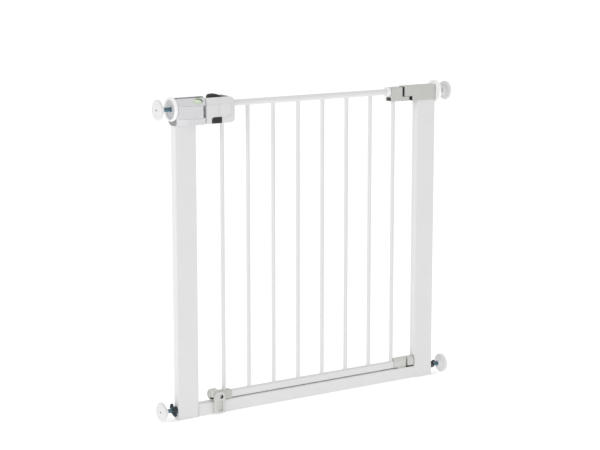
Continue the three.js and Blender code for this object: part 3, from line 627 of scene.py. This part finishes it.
def handle_body(name, i):
    prof = handle_profile(i)
    x0, x1 = HX0 + i, HX1 - i
    rt, rb, ry = 14 - i, 13 - i, 5 - i
    xs = [x0 + d for d in (0, 0.12, 0.45, 1.0, 1.7, 2.4, 6, 14, 24, 34, 44, 50)]
    xs += [x1 - rt + rt * math.sin(math.radians(a)) for a in (0, 10, 20, 30, 40, 50, 58, 66, 73, 79, 84, 88)]
    xs = sorted(x for x in xs if x < x1 - 0.004) + [x1]
    rings = []
    half = 27 - i
    zlo, zhi = HZ0 + i, HZ1 - i
    for x in xs:
        dt = max(fillet(x1 - x, rt), fillet(x - x0, 1.6))
        db = max(fillet(x1 - x, rb), fillet(x - x0, 1.6))
        dy = max(fillet(x1 - x, ry), fillet(x - x0, 1.6))
        ky = (half - dy) / half
        rings.append([(x, y * ky, zlo + db + (z - zlo) * (zhi - dt - zlo - db) / (zhi - zlo)) for y, z in prof])
    return loft(name, rings)


body = handle_body("handle", 0)
cut(body, handle_body("inner", 2.5),
    rod("c1", "x", 7.05, -225, -200, 0, 690, 48),
    rod("c2", "z", 4.8, 640, 660, -228, 0, 32),
    block("c3", -290, -275, -5.3, 5.3, 665.8, 690.2),
    block("c4", -263, -235, -4.5, 4.5, 695, 712),
    prism("c5", rounded([(-268.5, 640, 0), (-243.2, 640, 0), (-243.2, 664.9, 2.2), (-268.5, 664.9, 5.6)], 6), "y", -40, -7))
hrear = duplicate(body, "handle_rear_shell")
body.name = "handle_front_shell"
keep(body, block("k", -300, -200, -40, -0.15, 640, 720))
# two fine concentric grooves on the front face
for r0, r1 in ((18.4, 19.5), (14.8, 15.8)):
    g = lathe("g", "y", [(r0, -28.5), (r1, -28.5), (r1 - 0.25, -26.45), (r0 + 0.25, -26.45)], -234.3, 679.6, 72, closed=True)
    cut(body, g)
cut(body, loft("g", [[(x, -27.9, 691.5), (x, -26.4, 691.85), (x, -26.4, 692.2), (x, -27.9, 692.6)] for x in (-278.6, -247.5)]))
dress(body, "leaf", LSILVER, "handle_front", bevel=0.45, seg=2)
keep(hrear, block("k", -300, -200, 0.15, 40, 640, 720))
cut(hrear, rod("h1", "y", 2.4, 15, 40, -220, 662, 28), rod("h2", "y", 2.4, 15, 40, -272, 662, 28))
dress(hrear, "leaf", LSILVER, "handle_rear", bevel=0.45, seg=2)
screw("handle_screw_left_head", -272, 662, 12, 25.5, "leaf", "handle_screw_left")
screw("handle_screw_right_head", -220, 662, 12, 25.5, "leaf", "handle_screw_right")

# low grey crest behind the thumb slider, with a channel for the slider's tail
cr = prism("handle_top_crest", rounded([(-229, 698.0, 0), (-212.2, 697.6, 0), (-212.4, 703.6, 2.5), (-218.6, 707.6, 5), (-225.5, 708.8, 3), (-229, 707.8, 1.5)], 6), "y", -9, 12)
cut(cr, block("c", -232, -224.3, -20, 7.8, 690, 720), rod("c1", "x", 7.1, -232, -205, 0, 690, 48))
dress(cr, "leaf", CRESTGREY, bevel=0.6, seg=3)

# end plate of the handle, facing the mouth, in near-white: painted light lifting the shade inside the gap
hep = prism("handle_end_plate", handle_profile(1.5), "x", -281.5, -280.95)
cut(hep, block("c", -290, -275, -5.3, 5.3, 665.8, 690.2))
dress(hep, "leaf", MOUTH_PAINTED_LIGHT, bevel=0.2)


# thumb slider: crowned pad with a shallow dish, on its stem
def slider():
    top = [(-264.8, 706.6), (-264.65, 707.9), (-264.2, 709.2), (-263.3, 710.4), (-261.8, 711.4), (-259.3, 712.3), (-256, 712.9), (-252.5, 713.15),
           (-249, 713.1), (-246, 712.7), (-243.2, 712.0), (-240.4, 711.0), (-237.8, 709.9), (-235.6, 708.9), (-233.8, 708.0), (-232.4, 707.2),
           (-231.5, 706.6), (-231.1, 706.3)]

    def base(y):
        return 707.4 - (24.5 + y) * 0.1844 + 0.45

    rings = []
    for x, h in top:
        d = min(x + 265.0, -231.0 - x)
        w = 7.4 - 2.8 * (1 - min(1, max(0, d) / 6.0)) ** 2.2
        r = min(2.6, (h - base(-w)) * 0.7)
        dish = 0.45 * max(0, 1 - ((x + 251.5) / 8.0) ** 2)
        ring = [(x, -w + 0.35, base(-w + 0.35)), (x, -w, base(-w) + 0.25)]
        for k in range(7):
            a = math.radians(90 * k / 6)
            ring.append((x, -w + r - r * math.cos(a), h - r + r * math.sin(a)))
        for f in (0.75, 0.5, 0.25, 0.0, -0.25, -0.5, -0.75):
            ring.append((x, -(w - r) * f, h - dish * (1 - f * f)))
        for k in range(6, -1, -1):
            a = math.radians(90 * k / 6)
            ring.append((x, w - r + r * math.cos(a), h - r + r * math.sin(a)))
        ring += [(x, w, base(w) + 0.25), (x, w - 0.35, base(w - 0.35))]
        rings.append(ring)
    return loft("thumb_slider_pad", rings)


sl = slider()
union(sl, block("stem", -258, -243, -3.8, 3.8, 689.4, 706.5))
dress(sl, "latch", CHARCOAL_AND_SHADE, "thumb_slider", smooth=45)
keep_cad("latch_bolt", CHARCOAL_AND_SHADE, 0.5)

# squeeze button with three grip grooves
btn = prism("squeeze_button_cap", rounded([(-267.9, 651.2, 0.8), (-243.8, 651.2, 0.8), (-243.8, 664.3, 2.0), (-267.9, 664.3, 5.2)], 6), "y", -28, -11)
for zz in (655.6, 658.2, 660.8):
    cut(btn, prism("g", rounded([(-263.5, zz - 0.45, 0.4), (-248, zz - 0.45, 0.4), (-248, zz + 0.45, 0.4), (-263.5, zz + 0.45, 0.4)], 3), "y", -30, -27.55))
dress(btn, "squeeze", CHARCOAL_AND_SHADE, "squeeze_button", bevel=0.5, seg=3)
for n_ in ("bolt_spring", "button_spring"):
    keep_cad(n_, BRIGHT, 0)

# ------------------------------------------------------------------ upper hinge
KR = 12.3


def half_round(cx, r, side, n=16):
    """Points of a half circle round (cx, 0) on the +X or -X side, from -Y to +Y."""
    return [(cx + side * r * math.sin(math.pi * k / n), -r * math.cos(math.pi * k / n)) for k in range(n + 1)]


arm = prism("upper_hinge_arm_block", rect(-KR, KR, 668, 700, 2.5), "x", 222.5, 252.6)
union(arm, prism("t", [(250, -KR)] + half_round(267, KR, 1) + [(250, KR)], "z", 668, 677.4))
cut(arm, rod("c1", "x", 7.05, 210, 241.4, 0, 690, 48), rod("c2", "z", 4.8, 660, 685, BAR_X[7], 0, 32),
    block("c3", 220, 228.6, -8.5, 8.5, 660, 677), rod("c4", "z", 3.3, 660, 690, 267, 0, 32))
dress(arm, "leaf", WARM, "upper_hinge_arm", bevel=0.7, seg=3)
# charcoal block filling the recess under the arm: painted shade
recess_shade = block("hinge_arm_recess_painted_shade", 223.3, 228.5, -8.4, 8.4, 668.6, 676.9)
dress(recess_shade, "leaf", CHARCOAL_AND_SHADE, bevel=0.2)
col = lathe("rail_collar_ring", "x", [(7.05, 213.1), (7.5, 213.0), (9.9, 213.0), (10.6, 213.25), (11.15, 213.8), (11.4, 214.6), (11.4, 220.8),
                                      (11.2, 221.4), (10.7, 221.9), (10.0, 222.0), (7.05, 222.0)], 0, 690, 56, closed=True)
dress(col, "leaf", WHITE, "rail_collar", smooth=50)

plan = [(267, -KR)] + [(346.5 + 3.5 * math.sin(math.radians(a)), -KR + 3.5 - 3.5 * math.cos(math.radians(a))) for a in range(0, 91, 11)]
plan += [(346.5 + 3.5 * math.cos(math.radians(a)), KR - 3.5 + 3.5 * math.sin(math.radians(a))) for a in range(0, 91, 11)]
plan += [(p[0], -p[1]) for p in half_round(267, KR, -1)][:-1]
hh = prism("hinge_housing_shell", plan, "z", 667, 701.5)
cut(hh, block("c1", 250, 282, -20, 20, 660, 678), block("c2", 285, 347.3, -10.3, 25, 660, 699),
    rod("c3", "z", 3.3, 670, 699.6, 267, 0, 32), rod("c4", "x", 8.6, 345, 355, 0, 685, 40))
dress(hh, "frame", WARM, "hinge_housing", bevel=0.8, seg=3)
cover = prism("hinge_housing_rear_cover", rect(285.35, 346.9, 667.3, 698.6, 1.5), "y", 10.4, KR)
cut(cover, rod("c", "y", 2.3, 5, 20, 291, 695, 28))
dress(cover, "frame", WARM, "hinge_housing_cover", bevel=0.4)
screw("hinge_cover_screw_head", 291, 695, 2, 12, "frame", "hinge_cover_screw", 2.05)
# dark strips in the joint of the hinge: painted shade in the gaps beside the knuckle and on the housing's stop face
knuckle_shade_pts = [(267 - rr * math.cos(math.radians(a)), -rr * math.sin(math.radians(a))) for rr, aa in ((12.62, range(-70, 57, 6)), (12.31, range(56, -71, -6))) for a in aa]
dress(prism("hinge_knuckle_painted_shade", knuckle_shade_pts, "z", 678.8, 700.2), "frame", CHARCOAL_AND_SHADE, smooth=30)
dress(prism("hinge_stop_painted_shade", rect(-11.6, 11.6, 667.6, 677.7, 0.6), "x", 281.25, 281.95), "frame", CHARCOAL_AND_SHADE, bevel=0.15)
keep_cad("upper_hinge_pin", BRIGHT, 0.4)

# ------------------------------------------------------------------ lower hinge
br = prism("lower_hinge_bracket_block", rect(250, 295.6, -8.8, 8.8, 3), "z", 29.3, 31.4)
LH = rounded([(-11, 32, 3), (11, 32, 3), (11, 53.5, 9.0), (-11, 53.5, 9.0)], 10)
lh_end = prism("e", LH, "x", 270, 295.6)
cut(lh_end, rod("k", "z", 12.2, 25, 60, 267, 0, 72), block("k2", 260, 278.8, -14, 0.4, 25, 60))
union(br, lh_end)
union(br, prism("u", rect(281.4, 295.6, -8.7, 8.7, 1.5), "z", 30.2, 36))
# charcoal strip under the hinge and a thin plate at its end by the upright: painted shade in the gaps
under_shade = prism("lower_hinge_shade_strip", rect(272, 297.3, -9.7, 9.7, 3), "z", 29.4, 31.9)
cut(under_shade, prism("k", rect(240, 295.75, -8.95, 8.95, 0.5), "z", 20, 40))
dress(under_shade, "frame", CHARCOAL_AND_SHADE, smooth=30)
dress(prism("lower_hinge_end_shade_plate", rounded([(-10.0, 33.0, 2.2), (10.0, 33.0, 2.2), (10.0, 52.5, 8.0), (-10.0, 52.5, 8.0)], 8), "x", 295.75, 297.5),
      "frame", CHARCOAL_AND_SHADE, smooth=30)
cut(br, rod("c", "z", 4.4, 28, 33, 267, 0, 32))
dress(br, "frame", WARML, "lower_hinge_bracket", bevel=0.35, seg=2)
la_plan = [(243 - 3 * math.sin(math.radians(90 - a)), -8 - 3 * math.cos(math.radians(90 - a))) for a in range(0, 91, 15)]
la_plan += half_round(267, 11, 1)
la_plan += [(243 - 3 * math.sin(math.radians(a)), 8 + 3 * math.cos(math.radians(a))) for a in range(0, 91, 15)]
la = prism("lower_hinge_arm_block", la_plan, "z", 31, 56)
keep(la, prism("s", LH, "x", 238, 280))
union(la, block("t", 226, 244, -5.1, 5.1, 33, 44.5))
cut(la, rod("c1", "z", 4.4, 30, 47.6, 267, 0, 32), rod("c2", "z", 4.8, 46, 60, BAR_X[7], 0, 32))
dress(la, "leaf", WARML, "lower_hinge_arm", bevel=0.5, seg=3)
keep_cad("lower_hinge_pin", BRIGHT, 0.4)
# charcoal ring round the pin between the arm and the bracket: painted shade in that gap
dress(lathe("lower_hinge_pin_shade_ring", "z", [(4.05, 31.45), (7.4, 31.45), (7.6, 31.6), (7.6, 31.8), (7.4, 31.93), (4.05, 31.93)], 267, 0, 40, closed=True),
      "frame", CHARCOAL_AND_SHADE)

# ------------------------------------------------------------------ bottom catch
sv = prism("rail_sleeve_block", rect(-9.2, 9.2, 29.5, 49, 2.5), "x", -247.6, -212)
cut(sv, prism("c", rect(-7.3, 7.3, 30.7, 46.8, 2), "x", -249, -210), rod("c2", "z", 4.8, 40, 60, -228, 0, 32))
dress(sv, "leaf", WARM, "rail_sleeve", bevel=0.6, seg=3)
cb = lathe("catch_barrel_drum", "x", [(0, -266), (8.6, -266), (9.8, -265.7), (11.0, -264.9), (11.9, -263.6), (12.3, -262.2), (12.4, -260.6), (12.4, -258.4),
                                      (12.1, -258.0), (12.1, -257.2), (12.4, -256.8), (12.4, -250.6), (12.1, -249.3), (11.4, -248.4), (10.4, -248.2), (0, -248.2)], 0, 43.6, 56)
union(cb, block("t", -249, -240, -5.1, 5.1, 33, 44.5))
cut(cb, lathe("g", "x", [(6.3, -280), (7.9, -280), (7.9, -265.1), (6.3, -265.1)], 0, 43.6, 56, closed=True),
    prism("s", rect(-14.0, -3.0, 34.4, 39.0, 1.2), "x", -280, -255.5))
dress(cb, "leaf", WARML, "catch_barrel", bevel=0.35, seg=2)
# charcoal block at the back of the slot: painted shade
dress(prism("catch_barrel_slot_shade_block", rect(-7.0, -3.1, 34.5, 38.9, 1.1), "x", -265.4, -255.7), "leaf", CHARCOAL_AND_SHADE, bevel=0.15)
lg = prism("stop_leg_plate", rounded([(-262, 2.5, 2), (-235, 2.5, 2), (-235, 44, 5), (-241, 50, 4), (-256, 50, 7), (-262, 43, 5)], 7), "y", -17.5, -12.8)
union(lg, prism("p", rect(-262, -235, 4, 28, 1.5), "y", -13.2, -10.5), prism("b", rect(-246.8, -236.4, 31.5, 47.5, 1.5), "y", -13.2, -9.5))
cut(lg, rod("h", "y", 4.4, -20, -11.6, -244, 39, 40),
    prism("r", rect(-252.5, -240.5, 6, 30, 1.6), "y", -19, -14.3))
dress(lg, "leaf", WARML, "stop_leg", bevel=0.7, seg=3)
# charcoal cup lining the screw hole round the head: painted shade in the hole
dress(lathe("stop_leg_screw_hole_shade_cup", "y", [(3.55, -11.75), (4.3, -11.75), (4.3, -16.9), (3.95, -16.9), (3.95, -12.6), (3.55, -12.6)], -244, 39, 40, closed=True),
      "leaf", CHARCOAL_AND_SHADE, smooth=30)
ls = lathe("stop_leg_screw_head", "y", [(0, -15.0), (2.0, -14.95), (2.8, -14.6), (3.2, -14.0), (3.3, -13.4), (3.3, -11.9), (0, -11.9)], -244, 39, 36)
cut(ls, block("a", -244.4, -243.6, -17, -13.7, 37.0, 41.0), block("b", -246.0, -242.0, -17, -13.7, 38.6, 39.4))
dress(ls, "leaf", BRIGHT, "stop_leg_screw", smooth=35)


# ------------------------------------------------------------------ adjusters
def at(o, side, z):
    m = Matrix.Translation((side * 350 * MM, 0, z * MM))
    if side > 0:
        m = m @ Matrix.Rotation(math.pi, 4, "Z")
    o.data.transform(m)
    return o


def spindle(name, s0, s1, r=4.8, pitch=3.0, depth=0.6, n=28, per=8):
    """Threaded rod: rounded trapezoid thread, 3 mm a turn, with plain chamfered ends."""
    step = pitch / per
    m = int((s1 - s0) / step)
    rings = []
    for i in range(m + 1):
        s = s0 + (s1 - s0) * i / m
        fade = min(1.0, max(0.0, (s - s0) / 1.5)) * min(1.0, max(0.0, (s1 - s) / 3.0))
        endr = r - 1.5 * max(0.0, 1 - (s1 - s) / 1.5)
        ring = []
        for k in range(n):
            t = 2 * math.pi * k / n
            f = (s / pitch - k / n) % 1.0
            h = 0.5 + 0.5 * math.cos(2 * math.pi * f)
            h = min(1.0, max(0.0, 1.25 * h - 0.1))
            rr = min(endr, r - depth * (1 - h) * fade)
            ring.append((s, rr * math.cos(t), rr * math.sin(t)))
        rings.append(ring)
    return loft(name, rings)


PADP = [(0, 2.6), (2.1, 2.6), (2.5, 2.3), (2.6, 0.6), (2.9, 0.12), (3.3, 0), (12.6, 0), (13.4, 0.05), (13.7, 0.4), (14.6, 0.42), (14.9, 0.08),
        (18.6, 0.12), (20.2, 0.3), (21.2, 0.75), (21.8, 1.4), (22, 2.2), (22, 5.0), (21.8, 5.7), (21.2, 6.2), (20.2, 6.45), (18.6, 6.6), (18.2, 6.95),
        (13.2, 7.1), (11.0, 7.4), (10.2, 8.0), (9.8, 9.0), (9.3, 13.6), (9.0, 15.0), (8.3, 15.5), (5.5, 15.5), (5.1, 15.2), (5.1, 5.2), (0, 5.2)]
PADSCREW = [(0, 1.3), (1.2, 1.3), (1.9, 1.5), (2.25, 1.9), (2.25, 2.55), (0, 2.55)]
WHEELP = [(5.1, 11), (7.7, 11), (8.1, 10.6), (8.1, -0.3), (24.9, -0.3), (25.6, -0.6), (26.0, -1.4), (26.0, -6.2), (25.85, -6.9), (25.4, -7.4),
          (24.7, -7.6), (22.6, -7.6), (21.7, -7.4), (21.15, -6.9), (20.9, -6.1), (20.5, -3.0), (5.1, -3.0)]
DISHP = [(5.2, -3.05), (20.35, -3.05), (20.4, -3.3), (20.1, -3.5), (15.2, -3.5), (14.9, -3.85), (14.0, -3.85), (13.7, -3.5), (9.2, -3.5),
         (8.8, -3.7), (8.4, -4.4), (7.9, -4.7), (5.7, -4.7), (5.2, -4.3)]


def adjuster(side, level):
    nm = "left" if side < 0 else "right"
    z = 685 if level == "top" else 22
    screw_body = f"{nm}_{level}_screw"
    pad = lathe(f"{nm}_{level}_pad_turned", "x", [(r, -40 + s) for r, s in PADP], 0, 0, 64)
    dress(at(pad, side, z), screw_body, PADW, f"{nm}_{level}_pad", smooth=50)
    eye = lathe(f"{nm}_{level}_pad_screw", "x", [(r, -40 + s) for r, s in PADSCREW], 0, 0, 32)
    dress(at(eye, side, z), screw_body, DARKSTEEL, smooth=40)
    sp = spindle(f"{nm}_{level}_spindle_threaded", -35.7, 46 if level == "top" else 42)
    dress(at(sp, side, z), screw_body, STEEL, f"{nm}_{level}_spindle", smooth=60)
    if level == "top":
        wb = f"{nm}_hand_wheel"
        wheel = lathe(f"{nm}_hand_wheel_ring", "x", WHEELP, 0, 0, 96, closed=True)
        dress(at(wheel, side, z), wb, WHEELW, f"{nm}_hand_wheel", smooth=50)
        dish = lathe(f"{nm}_hand_wheel_dish", "x", DISHP, 0, 0, 72, closed=True)
        dress(at(dish, side, z), wb, DISHGREY, smooth=45)
    else:
        hub = lathe(f"{nm}_wing_nut_cast", "x", [(5.1, -12), (6.6, -12), (7.3, -11.6), (7.7, -10.8), (8.4, -2.6), (8.4, -0.8), (8.0, -0.3), (5.1, -0.3)],
                    0, 0, 48, closed=True)
        wing = rounded([(-4.5, 6.0, 0), (-3.0, 15, 3.0), (-9, 16.6, 2.8), (-13.6, 8.4, 2.6), (-11.4, 6.0, 0)], 6)
        for sgn in (1, -1):
            union(hub, soften(prism("w", [(a, sgn * b) for a, b in wing], "y", -2.6, 2.6), 1.0))
        hub.data.transform(Matrix.Rotation(math.radians(-42), 4, "X"))
        at(hub, side, z)
        dress(hub, f"{nm}_wing_nut", DARKSTEEL, f"{nm}_wing_nut", smooth=40)


for sd in (-1, 1):
    for lv in ("top", "foot"):
        adjuster(sd, lv)

# ------------------------------------------------------------------ floor, light, camera
scn = bpy.context.scene
fm = bpy.data.materials.new("pale_floor")
fm.use_nodes = True
fb = fm.node_tree.nodes["Principled BSDF"]
fb.inputs["Base Color"].default_value = (0.9, 0.9, 0.9, 1)
fb.inputs["Roughness"].default_value = 0.9
fb.inputs["Specular IOR Level"].default_value = 0.1
fb.inputs["Emission Color"].default_value = (1, 1, 1, 1)
fb.inputs["Emission Strength"].default_value = 0.38
fme = bpy.data.meshes.new("floor")
S = 70.0
fme.from_pydata([(-S, -S, 0), (S, -S, 0), (S, S, 0), (-S, S, 0)], [], [(0, 1, 2, 3)])
floor = bpy.data.objects.new("floor", fme)
scn.collection.objects.link(floor)
floor.location.z = -0.0006
fme.materials.append(fm)

world = bpy.data.worlds.new("studio")
scn.world = world
world.use_nodes = True
world.node_tree.nodes["Background"].inputs["Color"].default_value = (1, 1, 1, 1)
world.node_tree.nodes["Background"].inputs["Strength"].default_value = 0.74


def area(name, loc, target, size, power):
    ld = bpy.data.lights.new(name, "AREA")
    ld.shape = "DISK"
    ld.size = size
    ld.energy = power
    lo = bpy.data.objects.new(name, ld)
    scn.collection.objects.link(lo)
    lo.location = loc
    lo.rotation_euler = (Vector(target) - Vector(loc)).to_track_quat("-Z", "Y").to_euler()
    return lo


area("key", (-3.6, -0.7, 1.7), (0, 0, 0.35), 1.6, 20)
area("top", (0.3, 0.2, 3.2), (0, 0, 0.35), 1.8, 6)

cam = bpy.data.cameras.new("camera")
co = bpy.data.objects.new("camera", cam)
scn.collection.objects.link(co)
scn.camera = co
cam.sensor_width = 36
cam.lens = 103.96
cam.clip_start = 0.05
cam.clip_end = 300
cam.dof.use_dof = False
target = Vector((-0.0239, 0.0, 0.4021))
az, el = math.radians(-33.635), math.radians(10.199)
back = Vector((math.sin(az) * math.cos(el), -math.cos(az) * math.cos(el), math.sin(el)))
co.location = target + back * 3.9171
co.rotation_euler = (-back).to_track_quat("-Z", "Y").to_euler()

scn.view_settings.view_transform = "Standard"
scn.view_settings.look = "None"
scn.view_settings.exposure = 0.0
